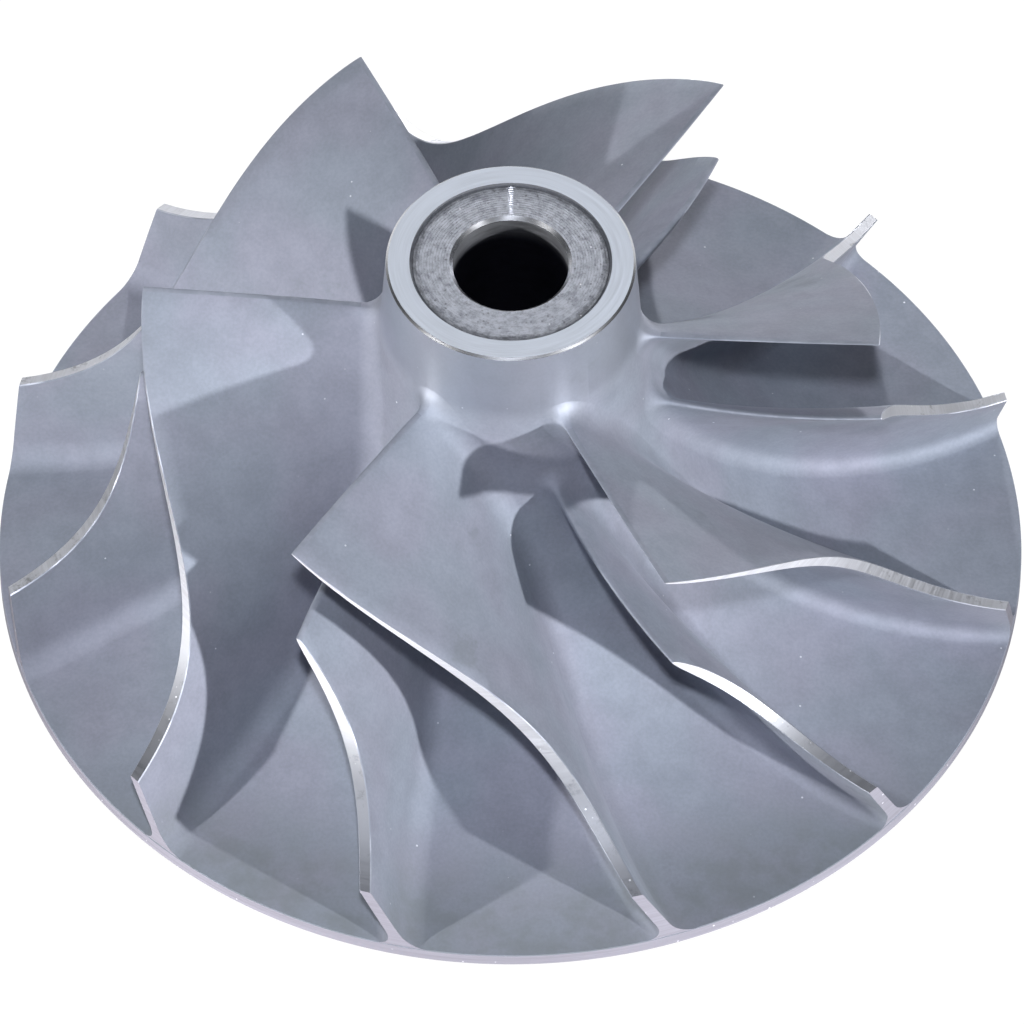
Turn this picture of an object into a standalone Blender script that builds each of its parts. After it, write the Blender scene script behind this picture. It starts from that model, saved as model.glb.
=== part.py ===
"""Compressor wheel: a one-piece aluminium casting with long and short blades around a bored hub."""

import math

import bmesh
import bpy

MM = 0.001

# Driving dimensions in millimetres. Heights are above the back boss face, where the wheel rests.
RIM_RADIUS = 57.5
RIM_UNDERSIDE = 3.0
RIM_TOP = 4.65
NOSE_HEIGHT = 54.7
NOSE_RADIUS = 13.45
NOSE_CHAMFER = 0.6
NUT_SEAT_RADIUS = 11.1
NUT_SEAT_DEPTH = 0.5
BORE_RADIUS = 6.35
BORE_CHAMFER = 0.4
BOSS_RADIUS = 17.0
BOSS_CHAMFER = 0.5
BACK_RELIEF_RADIUS = 22.0
BACK_RELIEF_HEIGHT = 1.6

# Bezier points as (radius, height): where the blades leave the hub, and the turned outline of their tips.
HUB_CURVE = ((14.4, 44.5), (15.8, 29.4), (23.0, 6.5), (RIM_RADIUS, RIM_TOP))
TIP_CURVE = ((40.7, 45.2), (40.8, 40.1), (37.6, 17.5), (RIM_RADIUS, 13.5))
# Bezier values in degrees of how far the blade has wrapped round the axis at its root and at its tip.
HUB_WRAP = (-67.3, -14.4, -20.8, -11.9)
TIP_WRAP = (-65.6, -56.6, -30.5, -23.0, -19.4, -16.0)

BLADE_PAIRS = 6
SPLITTER_OFFSET = 30.0
SPLITTER_HUB_START = 0.185
SPLITTER_TIP_START = 0.445
HUB_LAG = 1.6

# Thickness measured round the axis, at the leading edge, half way and the trailing edge.
ROOT_THICKNESS = (1.8, 2.6, 1.5)
TIP_THICKNESS = (1.15, 1.6, 1.0)
EDGE_THINNING = 0.5
EDGE_LENGTH = 0.05
ROOT_FILLET = 2.2
ROOT_DEPTH = 0.7
TRAILING_SETBACK = 0.15

TURN_STEPS = 84
HUB_STEPS = 15
BLADE_STEPS = 15
SPLITTER_STEPS = 11


def bezier(values, t):
    """The Bezier polynomial with these control values, of whatever degree they give."""
    n = len(values) - 1
    return sum(math.comb(n, i) * t**i * (1 - t) ** (n - i) * value for i, value in enumerate(values))


def curve_point(points, t):
    radii, heights = zip(*points)
    return bezier(radii, t), bezier(heights, t)


def thickness(start_middle_end, t):
    """A parabola through three values, thinned at the leading edge."""
    start, middle, end = start_middle_end
    full = start * (1 - t) * (1 - 2 * t) + 4 * middle * t * (1 - t) + end * t * (2 * t - 1)
    return full * (1 - EDGE_THINNING * math.exp(-t / EDGE_LENGTH))


def fillet_width(distance):
    """How much the root fillet adds to each side of a blade at this distance from the hub."""
    if distance >= ROOT_FILLET:
        return 0.0
    gap = ROOT_FILLET - max(distance, 0.0)
    return ROOT_FILLET - math.sqrt(ROOT_FILLET**2 - gap**2)


def blade_ring(hub_t, tip_t):
    """One closed section of a blade, from root to tip on one side and back down on the other."""
    hub_radius, hub_height = curve_point(HUB_CURVE, hub_t)
    tip_radius, tip_height = curve_point(TIP_CURVE, tip_t)
    span = math.hypot(tip_radius - hub_radius, tip_height - hub_height)
    distances = (-ROOT_DEPTH, 0.0, 0.3 * ROOT_FILLET, ROOT_FILLET, (ROOT_FILLET + span) / 2, span)
    sides = {-1: [], 1: []}
    for distance in distances:
        share = distance / span
        radius = hub_radius + (tip_radius - hub_radius) * share
        radius = min(radius, RIM_RADIUS - TRAILING_SETBACK)
        height = hub_height + (tip_height - hub_height) * share
        hub_angle, tip_angle = bezier(HUB_WRAP, hub_t), bezier(TIP_WRAP, tip_t)
        angle = math.radians(hub_angle + (tip_angle - hub_angle) * share)
        root, tip = thickness(ROOT_THICKNESS, tip_t), thickness(TIP_THICKNESS, tip_t)
        half = (root + (tip - root) * max(share, 0.0)) / 2 + fillet_width(distance)
        for side, points in sides.items():
            turned = angle + side * half / radius
            points.append((radius * math.cos(turned) * MM, radius * math.sin(turned) * MM, height * MM))
    return sides[-1] + sides[1][::-1]


def blade_mesh(name, hub_start, tip_start, hub_power, steps):
    """A blade lofted through rings from its leading edge to its trailing edge."""
    mesh = bpy.data.meshes.new(name)
    shape = bmesh.new()
    rings = []
    for step in range(steps + 1):
        t = step / steps
        hub_t = hub_start + (1 - hub_start) * t**hub_power
        tip_t = tip_start + (1 - tip_start) * t
        rings.append([shape.verts.new(point) for point in blade_ring(hub_t, tip_t)])
    for ring, following in zip(rings, rings[1:]):
        for i in range(len(ring)):
            j = (i + 1) % len(ring)
            shape.faces.new((ring[i], ring[j], following[j], following[i]))
    for end in (rings[0], rings[-1]):
        last = len(end) - 1
        for i in range(last // 2):
            shape.faces.new((end[i], end[i + 1], end[last - i - 1], end[last - i]))
    bmesh.ops.recalc_face_normals(shape, faces=shape.faces)
    shape.to_mesh(mesh)
    shape.free()
    return mesh


def hub_profile():
    """The turned outline as (radius, height), down the outer side and back up the bore."""
    nose = [
        (NUT_SEAT_RADIUS, NOSE_HEIGHT),
        (NOSE_RADIUS, NOSE_HEIGHT),
        (NOSE_RADIUS + NOSE_CHAMFER, NOSE_HEIGHT - NOSE_CHAMFER),
    ]
    flank = [curve_point(HUB_CURVE, step / HUB_STEPS) for step in range(HUB_STEPS + 1)]
    back = [
        (RIM_RADIUS, RIM_UNDERSIDE),
        (BACK_RELIEF_RADIUS, BACK_RELIEF_HEIGHT),
        (BOSS_RADIUS, BACK_RELIEF_HEIGHT),
        (BOSS_RADIUS, BOSS_CHAMFER),
        (BOSS_RADIUS - BOSS_CHAMFER, 0.0),
    ]
    seat_height = NOSE_HEIGHT - NUT_SEAT_DEPTH
    bore = [
        (BORE_RADIUS + BORE_CHAMFER, 0.0),
        (BORE_RADIUS, BORE_CHAMFER),
        (BORE_RADIUS, seat_height - BORE_CHAMFER),
        (BORE_RADIUS + BORE_CHAMFER, seat_height),
        (NUT_SEAT_RADIUS, seat_height),
    ]
    return nose + flank + back + bore


def turned_hub():
    profile = hub_profile()
    mesh = bpy.data.meshes.new("hub_profile")
    points = [(radius * MM, 0.0, height * MM) for radius, height in profile]
    edges = [(i, (i + 1) % len(profile)) for i in range(len(profile))]
    mesh.from_pydata(points, edges, [])
    hub = bpy.data.objects.new("compressor_wheel", mesh)
    screw = hub.modifiers.new("turn", "SCREW")
    screw.steps = TURN_STEPS
    screw.render_steps = TURN_STEPS
    screw.use_merge_vertices = True
    screw.merge_threshold = 0.00001
    screw.use_smooth_shade = False
    return hub


def cast_aluminium():
    material = bpy.data.materials.new("cast_aluminium")
    material.use_nodes = True
    shader = material.node_tree.nodes["Principled BSDF"]
    shader.inputs["Base Color"].default_value = (0.52, 0.55, 0.60, 1.0)
    shader.inputs["Metallic"].default_value = 1.0
    shader.inputs["Roughness"].default_value = 0.5
    return material


def collection(name):
    made = bpy.data.collections.new(name)
    bpy.context.scene.collection.children.link(made)
    return made


def main():
    for old in list(bpy.data.objects):
        bpy.data.objects.remove(old, do_unlink=True)
    wheel_parts = collection("compressor_wheel_parts")
    blades = collection("blades_to_join")

    long_blade = blade_mesh("long_blade", 0.0, 0.0, HUB_LAG, BLADE_STEPS)
    splitter = blade_mesh("splitter", SPLITTER_HUB_START, SPLITTER_TIP_START, 1.0, SPLITTER_STEPS)
    for pair in range(BLADE_PAIRS):
        for mesh, offset in ((long_blade, 0.0), (splitter, SPLITTER_OFFSET)):
            blade = bpy.data.objects.new(f"{mesh.name}_{pair + 1}", mesh)
            blade.rotation_euler.z = math.radians(offset + pair * 360.0 / BLADE_PAIRS)
            blade.hide_render = True
            blade.display_type = "WIRE"
            blades.objects.link(blade)

    wheel = turned_hub()
    wheel.data.materials.append(cast_aluminium())
    wheel_parts.objects.link(wheel)
    join = wheel.modifiers.new("join_blades", "BOOLEAN")
    join.operation = "UNION"
    join.solver = "EXACT"
    join.operand_type = "COLLECTION"
    join.collection = blades


main()
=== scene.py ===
"""The looks of a compressor wheel: a fine skin in the casting's place, its surfaces, light and camera."""

import math

import bpy
import numpy as np
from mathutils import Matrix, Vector


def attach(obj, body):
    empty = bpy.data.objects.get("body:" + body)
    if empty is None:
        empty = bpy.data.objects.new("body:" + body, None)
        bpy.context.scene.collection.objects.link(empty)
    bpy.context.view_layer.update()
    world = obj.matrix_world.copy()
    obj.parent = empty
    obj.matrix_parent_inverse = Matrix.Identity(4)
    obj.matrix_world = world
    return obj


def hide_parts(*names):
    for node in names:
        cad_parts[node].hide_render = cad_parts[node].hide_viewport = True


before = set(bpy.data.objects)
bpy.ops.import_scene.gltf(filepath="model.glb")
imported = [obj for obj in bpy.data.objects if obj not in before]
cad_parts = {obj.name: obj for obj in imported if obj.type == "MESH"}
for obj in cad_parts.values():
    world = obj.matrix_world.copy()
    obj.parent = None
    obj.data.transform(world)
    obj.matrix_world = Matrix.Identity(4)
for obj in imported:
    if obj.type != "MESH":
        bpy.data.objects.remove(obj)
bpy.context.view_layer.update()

MM = 0.001

# The turned outline in millimetres. Heights are above the back boss face, where the wheel rests.
RIM_RADIUS = 57.5
RIM_UNDERSIDE = 3.0
RIM_TOP = 4.65
RIM_EDGE = 0.09
NOSE_HEIGHT = 54.7
NOSE_RADIUS = 13.45
NOSE_CHAMFER = 0.25
NUT_SEAT_RADIUS = 11.1
NUT_SEAT_DEPTH = 0.3
SEAT_RELIEF_WIDTH = 0.35
SEAT_RELIEF_SLOPE = 0.1
SEAT_RELIEF_DEPTH = 0.12
GROOVE_COUNT = 13
GROOVE_DEPTH = 0.0126
GROOVE_STEEP_WIDTH = 0.017
BORE_RADIUS = 6.35
BORE_CHAMFER = 0.4
BOSS_RADIUS = 17.0
BOSS_CHAMFER = 0.5
BACK_RELIEF_RADIUS = 22.0
BACK_RELIEF_HEIGHT = 1.6

# Bezier points as (radius, height): where the blades leave the hub, and the outline of their tips.
HUB_CURVE = ((14.4, 44.5), (15.8, 29.4), (23.0, 6.5), (RIM_RADIUS, RIM_TOP))
TIP_CURVE = ((40.7, 45.2), (40.8, 40.1), (37.6, 17.5), (RIM_RADIUS, 13.5))
# Bezier values in degrees of how far the blade has wrapped round the axis, at its root and tip.
HUB_WRAP = (-67.3, -14.4, -20.8, -11.9)
TIP_WRAP = (-65.6, -56.6, -30.5, -23.0, -19.4, -16.0)

BLADE_PAIRS = 6
SPLITTER_OFFSET = 30.0
# How far along the hub's curve and the tips' curve the splitters start, from 0 to 1.
SPLITTER_HUB_START = 0.185
SPLITTER_TIP_START = 0.445
# The power by which places along a long blade's root lag behind those along its tip.
HUB_LAG = 1.6

# Thickness measured round the axis, at the leading edge, half way and the trailing edge.
ROOT_THICKNESS = (1.8, 2.6, 1.5)
TIP_THICKNESS = (1.15, 1.65, 1.3)
# The share of that thickness which is lost at the leading edge, at the root and at the tip.
LONG_THINNING = (0.7, 0.62)
SPLITTER_THINNING = (0.72, 0.66)
# Along the blade, from 0 to 1: where the thinning has fallen to about a third, and where the
# rounded nose ends. The nose is a superellipse, and a squareness of 2 makes it a plain ellipse.
EDGE_LENGTH = 0.05
EDGE_NOSE = 0.01
EDGE_SQUARENESS = 2.0
TIP_CHAMFER = 0.1
ROOT_FILLET = 2.2
FILLET_ANGLES = (11.0, 22.0, 34.0, 47.0, 61.0, 75.0, 90.0)
ROOT_DEPTH = 0.6
SEAM_DEPTH = 0.12
TRAILING_SETBACK = 0.03

TURN_STEPS = 360
HUB_STEPS = 80
LONG_STEPS = 72
SPLITTER_STEPS = 50
SPAN_STEPS = 12
NOSE_STEPS = 11
TRIM_STEPS = 200
# A share of the span that is small enough to give the direction across the blade there.
SMALL_SHARE = 0.02
# Edges that turn by more than this many degrees are shaded sharp.
SHARP_ANGLE = 32.0

# Places along a blade, to a little past the rim, and shares of its span near the root.
PAST_RIM = 1.06
PLACES = np.linspace(0.0, PAST_RIM, 180)
LOW_SHARES = np.linspace(-0.12, 0.5, 150)

# The surfaces' numbers, in the order of materials().
CAST, TURNED, TIP, BEVEL, LEADING, NOSE, SEAT, GROOVE, POLISHED, BORE = range(10)


def bezier(values, t):
    """The Bezier polynomial with these control values, of whatever degree they give."""
    n = len(values) - 1
    return sum(math.comb(n, i) * t**i * (1 - t) ** (n - i) * value for i, value in enumerate(values))


def curve_point(points, t):
    radii, heights = zip(*points)
    return np.stack((bezier(radii, t), bezier(heights, t)), axis=-1)


def thickness(start_middle_end, t):
    """A parabola through three values."""
    start, middle, end = start_middle_end
    return start * (1 - t) * (1 - 2 * t) + 4 * middle * t * (1 - t) + end * t * (2 * t - 1)


# The hub's curve, sampled finely past both its ends, with the direction away from the metal.
HUB_SAMPLES = curve_point(HUB_CURVE, np.linspace(-0.05, 1.08, 1600))
HUB_SLOPE = np.gradient(HUB_SAMPLES, axis=0)
HUB_NORMALS = np.stack((-HUB_SLOPE[:, 1], HUB_SLOPE[:, 0]), axis=-1)
HUB_NORMALS /= np.linalg.norm(HUB_NORMALS, axis=1, keepdims=True)


def nearest_on_hub(meridian):
    """The sample of the hub's curve nearest to each (radius, height)."""
    across = meridian[..., None, 0] - HUB_SAMPLES[:, 0]
    up = meridian[..., None, 1] - HUB_SAMPLES[:, 1]
    return np.argmin(across * across + up * up, axis=-1)


def height_above_hub(meridian):
    nearest = nearest_on_hub(meridian)
    return np.sum((meridian - HUB_SAMPLES[nearest]) * HUB_NORMALS[nearest], axis=-1)


def to_space(meridian, angle):
    radius, height = meridian[..., 0], meridian[..., 1]
    return np.stack((radius * np.cos(angle), radius * np.sin(angle), height), axis=-1)


def to_meridian(points):
    radius = np.hypot(points[..., 0], points[..., 1])
    angle = np.arctan2(points[..., 1], points[..., 0])
    return np.stack((radius, points[..., 2]), axis=-1), angle


class Blade:
    """One kind of blade: a ruled sheet from the hub's curve to the tips' outline, and its thickness."""

    def __init__(self, hub_start, tip_start, lag, steps, thinning):
        self.hub_start = hub_start
        self.tip_start = tip_start
        self.lag = lag
        self.steps = steps
        self.thinning = thinning
        meridian, _ = self.sheet(*np.meshgrid(PLACES, LOW_SHARES, indexing="ij"))
        self.low_heights = height_above_hub(meridian)

    def places_on_curves(self, t):
        """Where a place along the blade (t) lies on the hub's curve and on the tips' curve."""
        hub_t = self.hub_start + (1 - self.hub_start) * t**self.lag
        tip_t = self.tip_start + (1 - self.tip_start) * t
        return hub_t, tip_t

    def sheet(self, t, share):
        """(Radius, height) and angle at a place along the blade (t) and across its span (share)."""
        hub_t, tip_t = self.places_on_curves(t)
        hub, tip = curve_point(HUB_CURVE, hub_t), curve_point(TIP_CURVE, tip_t)
        hub_angle, tip_angle = bezier(HUB_WRAP, hub_t), bezier(TIP_WRAP, tip_t)
        angle = np.radians(hub_angle + (tip_angle - hub_angle) * share)
        return hub + (tip - hub) * share[..., None], angle

    def side_point(self, t, share, side, inset):
        """A point on the blade's surface. Side goes from -1 on one side, through its nose, to 1."""
        meridian, angle = self.sheet(t, share)
        _, tip_t = self.places_on_curves(t)
        root, tip = thickness(ROOT_THICKNESS, tip_t), thickness(TIP_THICKNESS, tip_t)
        full = root + (tip - root) * np.maximum(share, 0.0)
        at_root, at_tip = self.thinning
        thinning = at_root + (at_tip - at_root) * np.clip(share, 0.0, 1.0) ** 3
        half = full / 2 * (1 - thinning * np.exp(-t / EDGE_LENGTH)) - inset
        return to_space(meridian, angle + side * half / meridian[..., 0])

    def shares_at_height(self, height):
        """How far across the span the sheet is this far above the hub, at each of PLACES."""
        return np.array([np.interp(height, row, LOW_SHARES) for row in self.low_heights])

    def loop(self, t_minus, t_plus, shares, width, inset):
        """A section, from the trailing edge up one side, round the nose and down the other side."""
        turn = np.linspace(-math.pi / 2, math.pi / 2, NOSE_STEPS + 2)[1:-1]
        power = 2 / EDGE_SQUARENESS
        nose_t = EDGE_NOSE * (1 - np.cos(turn) ** power)
        nose_side = np.sign(turn) * np.abs(np.sin(turn)) ** power
        t = np.concatenate((t_minus[::-1], nose_t, t_plus))
        side = np.concatenate((-np.ones(len(t_minus)), nose_side, np.ones(len(t_plus))))
        share = np.interp(t, PLACES, shares)
        points = self.side_point(t, share, side, inset)
        if width > 0:
            up = self.side_point(t, share + SMALL_SHARE, side, inset) - points
            out = np.cross(up, np.gradient(points, axis=0))
            points = points + width * out / np.linalg.norm(out, axis=1, keepdims=True)
        return points

    def trimmed_loop(self, shares, width=0.0, inset=0.0, height=None):
        """A section that ends on the rim's cylinder, held at a height above the hub if one is given."""
        t = EDGE_NOSE + (1 - EDGE_NOSE) * places_along(self.steps)
        edge = RIM_RADIUS - TRAILING_SETBACK
        long_t = EDGE_NOSE + (PAST_RIM - EDGE_NOSE) * np.linspace(0, 1, TRIM_STEPS)
        whole = self.loop(long_t, long_t, shares, width, inset)
        radius = np.hypot(whole[:, 0], whole[:, 1])
        late = TRIM_STEPS // 2
        end_minus = np.interp(edge, radius[:late][::-1], long_t[-late:])
        end_plus = np.interp(edge, radius[-late:], long_t[-late:])
        points = self.loop(stretched(t, end_minus), stretched(t, end_plus), shares, width, inset)
        meridian, angle = to_meridian(points)
        if height is not None:
            nearest = nearest_on_hub(meridian)
            meridian = HUB_SAMPLES[nearest] + HUB_NORMALS[nearest] * height
        meridian[:, 0] = np.minimum(meridian[:, 0], edge)
        meridian[[0, -1], 0] = edge
        return to_space(meridian, angle)

    def levels(self):
        """All the sections, from below the hub's surface up to the turned tip."""
        found = []
        for height, width in fillet_levels():
            found.append(self.trimmed_loop(self.shares_at_height(height), width, height=height))
        low = self.shares_at_height(ROOT_FILLET)
        hub_t, tip_t = self.places_on_curves(PLACES)
        across = curve_point(TIP_CURVE, tip_t) - curve_point(HUB_CURVE, hub_t)
        high = 1 - TIP_CHAMFER / np.linalg.norm(across, axis=1)
        for part in np.linspace(0, 1, SPAN_STEPS + 1)[1:]:
            found.append(self.trimmed_loop(low + (high - low) * part))
        found.append(self.trimmed_loop(np.ones_like(PLACES), inset=TIP_CHAMFER))
        return np.array(found)


def places_along(steps):
    """Places from 0 to 1, closer together at the leading edge."""
    even = np.linspace(0.0, 1.0, steps + 1)
    return even * (0.5 + 0.5 * even)


def stretched(t, end):
    """The same places, moved so that the last is at this end."""
    return t[0] + (t - t[0]) * (end - t[0]) / (t[-1] - t[0])


def fillet_levels():
    """Pairs of (height above the hub, width added to each side), from under its surface upwards."""
    levels = []
    for degrees in FILLET_ANGLES:
        angle = math.radians(degrees)
        levels.append((ROOT_FILLET * (1 - math.cos(angle)), ROOT_FILLET * (1 - math.sin(angle))))
    lowest_height, lowest_width = levels[0]
    run = (lowest_height + SEAM_DEPTH) / math.tan(math.radians(FILLET_ANGLES[0]))
    sunk_width = lowest_width + run
    return [(-ROOT_DEPTH, sunk_width), (-SEAM_DEPTH, sunk_width)] + levels


def blade_mesh(name, blade):
    """A closed mesh from a blade's sections: cast sides, a turned tip and a turned trailing edge."""
    levels = blade.levels()
    count, size = levels.shape[:2]
    vertices = levels.reshape(-1, 3)
    faces, surfaces = [], []

    def add(face, surface):
        faces.append(face)
        surfaces.append(surface)

    nose_start = (size - NOSE_STEPS) // 2
    nose_end = nose_start + NOSE_STEPS - 1
    for level in range(count - 1):
        low, high = level * size, (level + 1) * size
        for i in range(size - 1):
            surface = CAST
            if level == count - 2:
                surface = BEVEL
            elif level > len(FILLET_ANGLES) and nose_start <= i < nose_end:
                surface = LEADING
            add((low + i, high + i, high + i + 1, low + i + 1), surface)
        add((low, low + size - 1, high + size - 1, high), TURNED)
    top = (count - 1) * size
    for i in range(size // 2):
        j = size - 1 - i
        if j - i == 2:
            add((top + i, top + j, top + i + 1), TIP)
            add((i, i + 1, j), CAST)
        else:
            add((top + i, top + j, top + j - 1, top + i + 1), TIP)
            add((i, i + 1, j - 1, j), CAST)
    return new_mesh(name, vertices, faces, surfaces)


def new_mesh(name, vertices, faces, surfaces):
    mesh = bpy.data.meshes.new(name)
    mesh.from_pydata([Vector(point) * MM for point in vertices], [], faces)
    mesh.polygons.foreach_set("material_index", surfaces)
    mesh.update()
    return mesh


def turned_mesh(name, profile):
    """A closed turned body from (radius, height, surface of the band that starts there), clockwise."""
    angles = np.linspace(0, 2 * math.pi, TURN_STEPS, endpoint=False)
    vertices = [(r * math.cos(a), r * math.sin(a), h) for r, h, _ in profile for a in angles]
    faces, surfaces = [], []
    for ring, (_, _, surface) in enumerate(profile):
        this, following = ring * TURN_STEPS, (ring + 1) % len(profile) * TURN_STEPS
        for i in range(TURN_STEPS):
            j = (i + 1) % TURN_STEPS
            faces.append((this + j, this + i, following + i, following + j))
            surfaces.append(surface)
    return new_mesh(name, vertices, faces, surfaces)


def hub_profile():
    """The outline of the hub and disc, down the outer side and back up the bore."""
    seat_height = NOSE_HEIGHT - NUT_SEAT_DEPTH
    profile = [
        (NUT_SEAT_RADIUS, NOSE_HEIGHT, NOSE),
        (NOSE_RADIUS, NOSE_HEIGHT, POLISHED),
        (NOSE_RADIUS + NOSE_CHAMFER, NOSE_HEIGHT - NOSE_CHAMFER, CAST),
    ]
    for radius, height in curve_point(HUB_CURVE, np.linspace(0, 1, HUB_STEPS + 1))[:-1]:
        profile.append((radius, height, CAST))
    profile += [
        (RIM_RADIUS - RIM_EDGE, RIM_TOP, CAST),
        (RIM_RADIUS, RIM_TOP - RIM_EDGE, TURNED),
        (RIM_RADIUS, RIM_UNDERSIDE + RIM_EDGE, TURNED),
        (RIM_RADIUS - RIM_EDGE, RIM_UNDERSIDE, TURNED),
        (BACK_RELIEF_RADIUS, BACK_RELIEF_HEIGHT, TURNED),
        (BOSS_RADIUS, BACK_RELIEF_HEIGHT, TURNED),
        (BOSS_RADIUS, BOSS_CHAMFER, TURNED),
        (BOSS_RADIUS - BOSS_CHAMFER, 0.0, TURNED),
        (BORE_RADIUS + BORE_CHAMFER, 0.0, TURNED),
        (BORE_RADIUS, BORE_CHAMFER, BORE),
        (BORE_RADIUS, seat_height - BORE_CHAMFER, POLISHED),
        (BORE_RADIUS + BORE_CHAMFER, seat_height, SEAT),
    ]
    first, last = BORE_RADIUS + BORE_CHAMFER, NUT_SEAT_RADIUS - SEAT_RELIEF_WIDTH
    pitch = (last - first) / GROOVE_COUNT
    for groove in range(1, GROOVE_COUNT + 1):
        ridge = first + groove * pitch
        profile.append((ridge - GROOVE_STEEP_WIDTH, seat_height - GROOVE_DEPTH, GROOVE))
        profile.append((ridge, seat_height, SEAT))
    profile += [
        (last + SEAT_RELIEF_SLOPE, seat_height - SEAT_RELIEF_DEPTH, SEAT),
        (NUT_SEAT_RADIUS, seat_height - SEAT_RELIEF_DEPTH, SEAT),
    ]
    return profile


def new_object(name, data):
    made = bpy.data.objects.new(name, data)
    bpy.context.scene.collection.objects.link(made)
    return made


def blade_objects():
    """Every blade in its place round the hub."""
    long_blade = Blade(0.0, 0.0, HUB_LAG, LONG_STEPS, LONG_THINNING)
    splitter = Blade(SPLITTER_HUB_START, SPLITTER_TIP_START, 1.0, SPLITTER_STEPS, SPLITTER_THINNING)
    blades = []
    for name, kind, offset in (("long_blade", long_blade, 0.0), ("splitter", splitter, SPLITTER_OFFSET)):
        mesh = blade_mesh(name, kind)
        for pair in range(BLADE_PAIRS):
            blade = new_object(f"{name}_{pair + 1}", mesh.copy())
            blade.rotation_euler.z = math.radians(offset + pair * 360.0 / BLADE_PAIRS)
            blades.append(blade)
    return blades


def joined_wheel():
    """The hub and all the blades, united into one closed body."""
    hub = new_object("wheel_skin", turned_mesh("wheel_skin", hub_profile()))
    blades = blade_objects()
    gather = bpy.data.collections.new("blades_to_join")
    bpy.context.scene.collection.children.link(gather)
    for blade in blades:
        gather.objects.link(blade)
    for material in materials():
        hub.data.materials.append(material)
        for blade in blades:
            blade.data.materials.append(material)
    join = hub.modifiers.new("join_blades", "BOOLEAN")
    join.operation = "UNION"
    join.solver = "MANIFOLD"
    join.operand_type = "COLLECTION"
    join.collection = gather
    bpy.context.view_layer.update()
    joined = hub.evaluated_get(bpy.context.evaluated_depsgraph_get())
    whole = bpy.data.meshes.new_from_object(joined)
    hub.modifiers.clear()
    hub.data = whole
    for blade in blades:
        bpy.data.objects.remove(blade)
    bpy.data.collections.remove(gather)
    whole.shade_smooth()
    whole.set_sharp_from_angle(angle=math.radians(SHARP_ANGLE))
    return hub


# How far turning marks follow the height against the radius, so that no turned face is free of them.
TURNING_LEAN = 1.3
# The part of a full turn by which the shader's streaks are turned from the tangent.
STREAK_TURN = 0.25


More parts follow.
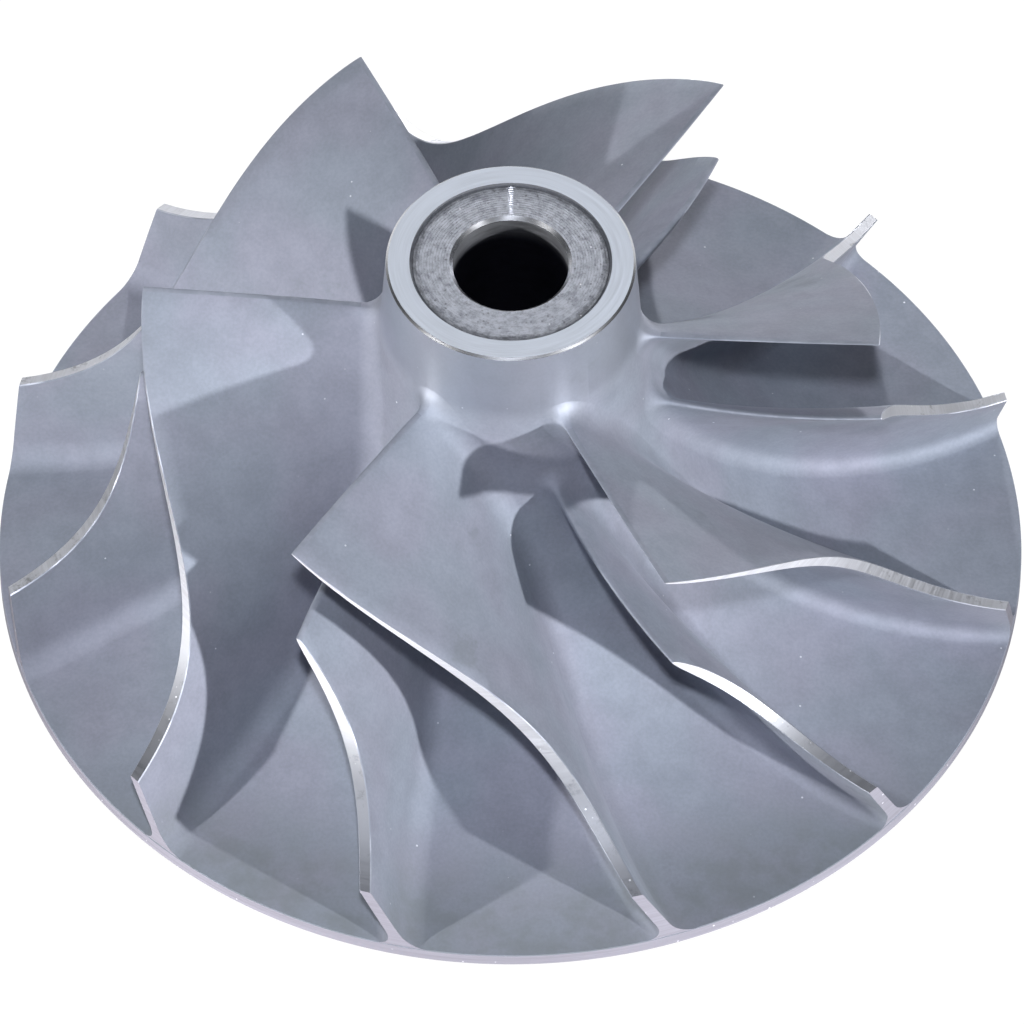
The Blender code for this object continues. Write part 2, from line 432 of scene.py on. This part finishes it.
class Metal:
    """A metal surface made of nodes. Places are in millimetres of the wheel's own space."""

    def __init__(self, name):
        self.material = bpy.data.materials.new(name)
        self.material.use_nodes = True
        self.tree = self.material.node_tree
        self.shader = self.tree.nodes["Principled BSDF"]
        self.shader.inputs["Metallic"].default_value = 1.0
        origin = self.add("TexCoord").outputs["Object"]
        self.place = self.vector("SCALE", {0: origin, "Scale": 1 / MM}).outputs[0]

    def add(self, kind, sockets=None, **settings):
        """A new node, with its settings, and its inputs linked where they are given a socket."""
        node = self.tree.nodes.new("ShaderNode" + kind)
        for name, value in settings.items():
            setattr(node, name, value)
        for key, value in (sockets or {}).items():
            if isinstance(value, bpy.types.NodeSocket):
                self.tree.links.new(value, node.inputs[key])
            else:
                node.inputs[key].default_value = value
        return node

    def vector(self, operation, sockets):
        return self.add("VectorMath", sockets, operation=operation)

    def calculated(self, operation, first, second):
        return self.add("Math", {0: first, 1: second}, operation=operation).outputs[0]

    def plus(self, first, second):
        return self.calculated("ADD", first, second)

    def minus(self, first, second):
        return self.calculated("SUBTRACT", first, second)

    def times(self, first, second):
        return self.calculated("MULTIPLY", first, second)

    def noise(self, place, scale=1.0, detail=2.0, harshness=0.5):
        sockets = {"Vector": place, "Scale": scale, "Detail": detail, "Roughness": harshness}
        return self.add("TexNoise", sockets).outputs[0]

    def between(self, value, start, end, low=0.0, high=1.0):
        """The value's range from start to end, carried over smoothly to low and high."""
        sockets = {
            "Value": value,
            "From Min": start,
            "From Max": end,
            "To Min": low,
            "To Max": high,
        }
        return self.add("MapRange", sockets, interpolation_type="SMOOTHSTEP").outputs[0]

    def mixed(self, share, first, second, blend="MIX"):
        """Two colours, or a colour and a number, mixed by a share of the second."""
        sockets = {"Fac": share}
        for name, color in (("Color1", first), ("Color2", second)):
            sockets[name] = color if isinstance(color, bpy.types.NodeSocket) else (*color, 1.0)
        return self.add("MixRGB", sockets, blend_type=blend).outputs[0]

    def scaled(self, color, factor):
        """The colour, made lighter or darker by a factor."""
        return self.mixed(1.0, color, factor, "MULTIPLY")

    def level_place(self):
        return self.vector("MULTIPLY", {0: self.place, 1: (1.0, 1.0, 0.0)}).outputs[0]

    def radius(self):
        return self.vector("LENGTH", {0: self.level_place()}).outputs["Value"]

    def height(self):
        return self.add("SeparateXYZ", {0: self.place}).outputs["Z"]

    def toward(self, azimuth):
        """How far a place lies from the axis towards an azimuth, in degrees from +X."""
        across = math.radians(azimuth)
        axis = (math.cos(across), math.sin(across), 0.0)
        return self.vector("DOT_PRODUCT", {0: self.place, 1: axis}).outputs["Value"]

    def around(self, across, along):
        """A place that changes fast across the marks of turning and slowly along them, with no seam."""
        outward = self.vector("NORMALIZE", {0: self.level_place()}).outputs[0]
        sides = self.add("SeparateXYZ", {0: outward}).outputs
        lean = self.minus(self.radius(), self.times(self.height(), TURNING_LEAN))
        sockets = {
            "X": self.times(lean, across),
            "Y": self.times(sides["X"], along),
            "Z": self.times(sides["Y"], along),
        }
        return self.add("CombineXYZ", sockets).outputs[0]

    def dots(self, scale, size):
        """1 in small round spots scattered through space, and their own random numbers."""
        cells = self.add("TexVoronoi", {"Vector": self.place, "Scale": scale, "Randomness": 1.0})
        spot = self.between(cells.outputs["Distance"], size * scale, size * scale / 2)
        return spot, self.add("SeparateXYZ", {0: cells.outputs["Color"]}).outputs["X"]

    def dotted(self, color, dots, tone, start=0.5, end=0.9, most=1.0):
        """The colour with spots of a tone, which show more from one random number to another."""
        spot, chance = dots
        shown = self.between(chance, start, end, high=most)
        return self.mixed(self.times(spot, shown), color, tone)

    def finish(self, color, roughness, height, depth, turning=0.0):
        """Joins all to the shader. Depth is what a height of 1 stands for, in millimetres."""
        self.tree.links.new(color, self.shader.inputs["Base Color"])
        self.tree.links.new(roughness, self.shader.inputs["Roughness"])
        bump = self.add("Bump", {"Height": height, "Distance": depth * MM})
        self.tree.links.new(bump.outputs[0], self.shader.inputs["Normal"])
        if turning:
            tangent = self.add("Tangent", direction_type="RADIAL", axis="Z")
            self.tree.links.new(tangent.outputs[0], self.shader.inputs["Tangent"])
            self.shader.inputs["Anisotropic"].default_value = turning
            self.shader.inputs["Anisotropic Rotation"].default_value = STREAK_TURN
        return self.material


def cast_surface():
    """Blue-grey cast aluminium: cloudy and finely grained, with stains and bright flecks."""
    metal = Metal("cast_surface")
    cool, warm = (0.371, 0.398, 0.452), (0.387, 0.397, 0.458)
    stained, rim_shade_tone = (0.24, 0.26, 0.27), (0.25, 0.27, 0.28)
    cleaned, bright = (0.46, 0.49, 0.56), (0.95, 0.96, 1.0)

    patches = metal.noise(metal.place, scale=0.09, detail=1.0)
    clouds = metal.noise(metal.place, scale=0.3, detail=3.0, harshness=0.55)
    grain = metal.noise(metal.place, scale=2.6, detail=2.0, harshness=0.6)
    stains = metal.noise(metal.place, scale=0.11, detail=5.0, harshness=0.65)
    color = metal.mixed(metal.between(patches, 0.35, 0.65), cool, warm)
    color = metal.scaled(color, metal.between(clouds, 0.25, 0.75, low=0.95, high=1.05))
    color = metal.scaled(color, metal.between(grain, 0.25, 0.75, low=0.96, high=1.04))
    color = metal.mixed(metal.between(stains, 0.62, 0.74, high=0.3), color, stained)

    # Painted shade: darker low on the disc, near the rim and on the front side, where the light falls
    # off.
    front_rim_shade = metal.between(metal.radius(), 40.0, 54.0)
    front_rim_shade = metal.times(front_rim_shade, metal.between(metal.height(), 12.0, 7.0))
    front_rim_shade = metal.times(front_rim_shade, metal.between(metal.toward(270.0), 28.0, 46.0))
    front_rim_shade = metal.times(front_rim_shade, metal.between(clouds, 0.3, 0.7, low=0.2, high=0.65))
    color = metal.mixed(front_rim_shade, color, rim_shade_tone)

    # The neck above the blades is lighter and smoother.
    neck = metal.between(metal.height(), 43.0, 47.0)
    neck = metal.times(neck, metal.between(metal.radius(), 19.0, 16.0))
    color = metal.mixed(metal.times(neck, 0.4), color, cleaned)

    fleck, chance = metal.dots(scale=0.4, size=0.15)
    shine = metal.times(fleck, metal.between(chance, 0.55, 1.2))
    color = metal.mixed(shine, color, bright)
    smoother = metal.plus(metal.times(shine, 0.3), metal.times(neck, 0.25))
    roughness = metal.minus(0.84, smoother)
    height = metal.plus(grain, metal.times(clouds, 1.5))
    return metal.finish(color, roughness, height, depth=0.004)


def turned_surface():
    """Machined rim, blade ends and back: light grey with fine lathe lines and a few nicks."""
    metal = Metal("turned_surface")
    lines = metal.noise(metal.around(across=4.0, along=3.0), detail=3.0, harshness=0.6)
    color = metal.mixed(metal.between(lines, 0.3, 0.7), (0.42, 0.41, 0.47), (0.51, 0.50, 0.57))
    color = metal.dotted(color, metal.dots(scale=0.8, size=0.16), tone=(0.95, 0.95, 1.0))
    roughness = metal.between(lines, 0.3, 0.7, low=0.55, high=0.65)
    return metal.finish(color, roughness, lines, depth=0.008, turning=0.3)


def tip_surface():
    """Turned tips: bright, galled in patches low down, and darker low in front as wear and painted shade.
    """
    metal = Metal("tip_surface")
    galled, worn_and_shaded_tone = (0.20, 0.205, 0.225), (0.13, 0.135, 0.15)

    lines = metal.noise(metal.around(across=3.0, along=9.0), detail=3.0, harshness=0.6)
    high = metal.between(metal.height(), 19.0, 34.0)
    color = metal.mixed(high, (0.80, 0.81, 0.86), (0.84, 0.85, 0.90))
    color = metal.scaled(color, metal.between(lines, 0.3, 0.7, low=0.94, high=1.04))

    low = metal.between(metal.height(), 26.0, 18.0)
    patches = metal.noise(metal.place, scale=0.4, detail=6.0, harshness=0.75)
    galling = metal.times(metal.between(patches, 0.55, 0.68, high=0.55), low)
    color = metal.mixed(galling, color, galled)
    # Painted shade, partly wear: low on the front side the tips are darkened.
    front_wear_and_shade = metal.times(metal.between(metal.toward(270.0), 12.0, 34.0), low)
    color = metal.mixed(metal.times(front_wear_and_shade, 0.8), color, worn_and_shaded_tone)

    color = metal.dotted(color, metal.dots(scale=1.2, size=0.16), tone=(0.95, 0.96, 1.0))
    roughness = metal.between(lines, 0.3, 0.7, low=0.5, high=0.6)
    return metal.finish(color, roughness, lines, depth=0.003, turning=0.2)


def bevel_surface():
    """The narrow bevels along the tips, polished here and there by handling."""
    metal = Metal("bevel_surface")
    wear = metal.noise(metal.place, scale=0.12, detail=3.0, harshness=0.6)
    color = metal.mixed(metal.between(wear, 0.42, 0.66), (0.34, 0.36, 0.41), (0.60, 0.62, 0.69))
    roughness = metal.between(wear, 0.42, 0.66, low=0.8, high=0.55)
    return metal.finish(color, roughness, wear, depth=0.002)


def leading_surface():
    """The blades' leading edges: cast like the sides, with no flecks, and a little darker as painted
    shade.
    """
    metal = Metal("leading_surface")
    wear = metal.noise(metal.place, scale=0.5, detail=3.0, harshness=0.6)
    # Painted shade: a little darker than the cast sides, to dull the light the rounded noses catch.
    color = metal.mixed(metal.between(wear, 0.35, 0.65), (0.35, 0.37, 0.42), (0.38, 0.40, 0.455))
    roughness = metal.between(wear, 0.35, 0.65, low=0.86, high=0.8)
    return metal.finish(color, roughness, wear, depth=0.003)


def nose_surface():
    """The nose's faced ring: satin, with lathe lines too fine to see one by one."""
    metal = Metal("nose_surface")
    lines = metal.noise(metal.around(across=7.0, along=2.0), harshness=0.6)
    color = metal.mixed(metal.between(lines, 0.3, 0.7), (0.66, 0.695, 0.755), (0.72, 0.755, 0.815))
    roughness = metal.between(lines, 0.3, 0.7, low=0.65, high=0.75)
    return metal.finish(color, roughness, lines, depth=0.002)


def seat_surface():
    """The nut's seat, galled in arcs, with grime and painted shade at its outer edge, pits and bright
    burrs.
    """
    metal = Metal("seat_surface")
    galled, clean, grime_and_shade_tone = (0.35, 0.36, 0.40), (0.63, 0.65, 0.705), (0.17, 0.175, 0.19)
    pitted, burred = (0.2, 0.2, 0.22), (0.98, 0.98, 1.0)

    arcs = metal.noise(metal.around(across=1.6, along=9.0), detail=5.0, harshness=0.75)
    color = metal.mixed(metal.between(arcs, 0.3, 0.64), galled, clean)
    # Painted shade with grime: darker towards the outer edge, in the relief and up the nose ring's wall.
    grime_and_shade_edge = metal.minus(metal.radius(), metal.times(arcs, 1.6))
    color = metal.mixed(metal.between(grime_and_shade_edge, 9.1, 10.1, high=0.8), color, grime_and_shade_tone)
    pits, burrs = metal.dots(scale=1.7, size=0.17), metal.dots(scale=0.9, size=0.14)
    color = metal.dotted(color, pits, pitted, start=0.4, most=0.8)
    color = metal.dotted(color, burrs, burred)
    roughness = metal.between(arcs, 0.34, 0.58, low=0.8, high=0.65)
    return metal.finish(color, roughness, arcs, depth=0.012)


def groove_surface():
    """The steep sides of the seat's turning grooves: dark, but smooth enough to mirror a lamp."""
    metal = Metal("groove_surface")
    lines = metal.noise(metal.around(across=2.0, along=6.0), harshness=0.6)
    shade = metal.between(lines, 0.35, 0.6)
    color = metal.mixed(shade, (0.005, 0.005, 0.0055), (0.013, 0.013, 0.014))
    roughness = metal.between(lines, 0.35, 0.6, low=0.12, high=0.09)
    return metal.finish(color, roughness, lines, depth=0.0001)


def polished_surface():
    """The cut bevels of the nose and of the bore's upper mouth, as smooth as the tool left them."""
    metal = Metal("polished_surface")
    lines = metal.noise(metal.around(across=3.0, along=2.0), harshness=0.6)
    color = metal.mixed(metal.between(lines, 0.3, 0.7), (0.78, 0.79, 0.83), (0.90, 0.91, 0.95))
    roughness = metal.between(lines, 0.3, 0.7, low=0.22, high=0.26)
    return metal.finish(color, roughness, lines, depth=0.0005)


def bore_surface():
    """The reamed bore: light near its two mouths, and painted dark inside for the shade deep in it."""
    metal = Metal("bore_surface")
    height = metal.height()
    # Painted shade: away from the two mouths the bore is coloured dark, as the shade deep inside it.
    clean = metal.plus(metal.between(height, 50.6, 53.0), metal.between(height, 4.0, 1.5))
    lines = metal.noise(metal.around(across=5.0, along=2.0), detail=3.0, harshness=0.6)
    color = metal.mixed(clean, (0.05, 0.05, 0.075), (0.50, 0.51, 0.54))
    color = metal.scaled(color, metal.between(lines, 0.3, 0.7, low=0.9, high=1.1))
    roughness = metal.between(lines, 0.3, 0.7, low=0.4, high=0.5)
    return metal.finish(color, roughness, lines, depth=0.003)


def materials():
    """One material for each of the surfaces' numbers, in their order."""
    return (
        cast_surface(),
        turned_surface(),
        tip_surface(),
        bevel_surface(),
        leading_surface(),
        nose_surface(),
        seat_surface(),
        groove_surface(),
        polished_surface(),
        bore_surface(),
    )


def direction(azimuth, elevation):
    """A unit vector towards an azimuth from +X and an elevation, both in degrees."""
    across, up = math.radians(azimuth), math.radians(elevation)
    level = math.cos(up)
    return Vector((level * math.cos(across), level * math.sin(across), math.sin(up)))


# The photograph's viewpoint, found from the wheel's own circles and blade tips.
CAMERA_AZIMUTH = 270.0
CAMERA_ELEVATION = 52.2
CAMERA_DISTANCE = 1.394
CAMERA_TARGET = Vector((0.00017, 0.0, 0.0100))
CAMERA_ROLL = 0.076
CAMERA_CLIP_START = 0.05
LENS_MM = 436.8
SENSOR_MM = 36.0


def camera():
    data = bpy.data.cameras.new("camera")
    data.lens = LENS_MM
    data.sensor_width = SENSOR_MM
    data.clip_start = CAMERA_CLIP_START
    made = new_object("camera", data)
    away = direction(CAMERA_AZIMUTH, CAMERA_ELEVATION)
    made.location = CAMERA_TARGET + away * CAMERA_DISTANCE
    made.rotation_euler = away.to_track_quat("Z", "Y").to_euler()
    made.rotation_euler.rotate_axis("Z", math.radians(CAMERA_ROLL))
    bpy.context.scene.camera = made


# The floor glows by itself and only the camera sees it, so it is as plain as the photograph's white.
# Light passes through it: the bounce lamps below it stand for what a white table throws back.
FLOOR_REACH = 12.0
FLOOR_DROP = 0.0002
FLOOR_GLOW = 0.96
FLOOR_COLOR = (0.08, 0.08, 0.08, 1.0)
FLOOR_ROUGHNESS = 0.9
WHITE = (1.0, 1.0, 1.0)


def floor():
    mesh = bpy.data.meshes.new("floor")
    reach = FLOOR_REACH
    corners = [(-reach, -reach, 0), (reach, -reach, 0), (reach, reach, 0), (-reach, reach, 0)]
    mesh.from_pydata(corners, [], [(0, 1, 2, 3)])
    made = new_object("floor", mesh)
    made.location.z = -FLOOR_DROP
    made.visible_diffuse = False
    made.visible_glossy = False
    made.visible_shadow = False
    material = bpy.data.materials.new("pale_floor")
    material.use_nodes = True
    shader = material.node_tree.nodes["Principled BSDF"]
    shader.inputs["Base Color"].default_value = FLOOR_COLOR
    shader.inputs["Roughness"].default_value = FLOOR_ROUGHNESS
    shader.inputs["Specular IOR Level"].default_value = 0.0
    shader.inputs["Emission Color"].default_value = (*WHITE, 1.0)
    shader.inputs["Emission Strength"].default_value = FLOOR_GLOW
    mesh.materials.append(material)


# Four small lamps cast the photograph's shadows, and broad screens and bounce lamps fill them.
# Each has its name, azimuth from +X and elevation in degrees, distance in metres, apparent width
# and height in degrees, how strongly it lights a surface that faces it, and its colour.
LAMPS = (
    ("front_right", 322.0, 14.0, 1.5, 1.6, 1.6, 4.0, (0.97, 0.98, 1.0)),
    ("front_left", 212.0, 14.0, 0.35, 1.8, 1.8, 2.92, WHITE),
    ("overhead", 270.0, 57.0, 1.5, 2.5, 2.5, 2.3, (0.88, 0.92, 1.0)),
    ("behind", 86.0, 14.0, 0.35, 2.5, 2.5, 0.95, WHITE),
    ("screen_behind", 112.0, 20.0, 0.9, 80.0, 48.0, 0.63, WHITE),
    ("screen_right", 64.0, 43.0, 0.9, 34.0, 32.0, 0.17, WHITE),
    ("bounce_front", 270.0, -45.0, 0.5, 65.0, 45.0, 1.1, (1.0, 0.98, 1.0)),
    ("bounce_left", 205.0, -45.0, 0.5, 60.0, 45.0, 0.85, (1.0, 0.95, 0.98)),
    ("bounce_right", 335.0, -45.0, 0.5, 60.0, 45.0, 0.6, (1.0, 0.98, 1.0)),
    ("bounce_behind", 84.0, -12.0, 0.9, 120.0, 36.0, 1.2, WHITE),
)
LAMP_CENTRE = Vector((0.0, 0.0, 0.03))
SKY_COLOR = (0.9, 0.94, 1.0, 1.0)
SKY_STRENGTH = 0.045


def sky():
    """A faint even light from all round."""
    world = bpy.data.worlds.new("studio")
    world.use_nodes = True
    background = world.node_tree.nodes["Background"]
    background.inputs["Color"].default_value = SKY_COLOR
    background.inputs["Strength"].default_value = SKY_STRENGTH
    bpy.context.scene.world = world


def real_width(apparent, distance):
    """How wide a thing is that looks this many degrees wide from this distance."""
    return 2 * distance * math.tan(math.radians(apparent / 2))


def lamps():
    for name, azimuth, elevation, distance, width, height, strength, color in LAMPS:
        toward = direction(azimuth, elevation)
        data = bpy.data.lights.new(name, "AREA")
        data.shape = "ELLIPSE"
        data.color = color
        data.size = real_width(width, distance)
        data.size_y = real_width(height, distance)
        data.energy = strength * math.pi * distance**2
        made = new_object(name, data)
        made.location = LAMP_CENTRE + toward * distance
        made.rotation_euler = toward.to_track_quat("Z", "Y").to_euler()
        made.visible_camera = False


wheel = joined_wheel()
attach(wheel, "root")
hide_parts("compressor_wheel")
camera()
floor()
sky()
lamps()
bpy.context.scene.view_settings.view_transform = "Standard"
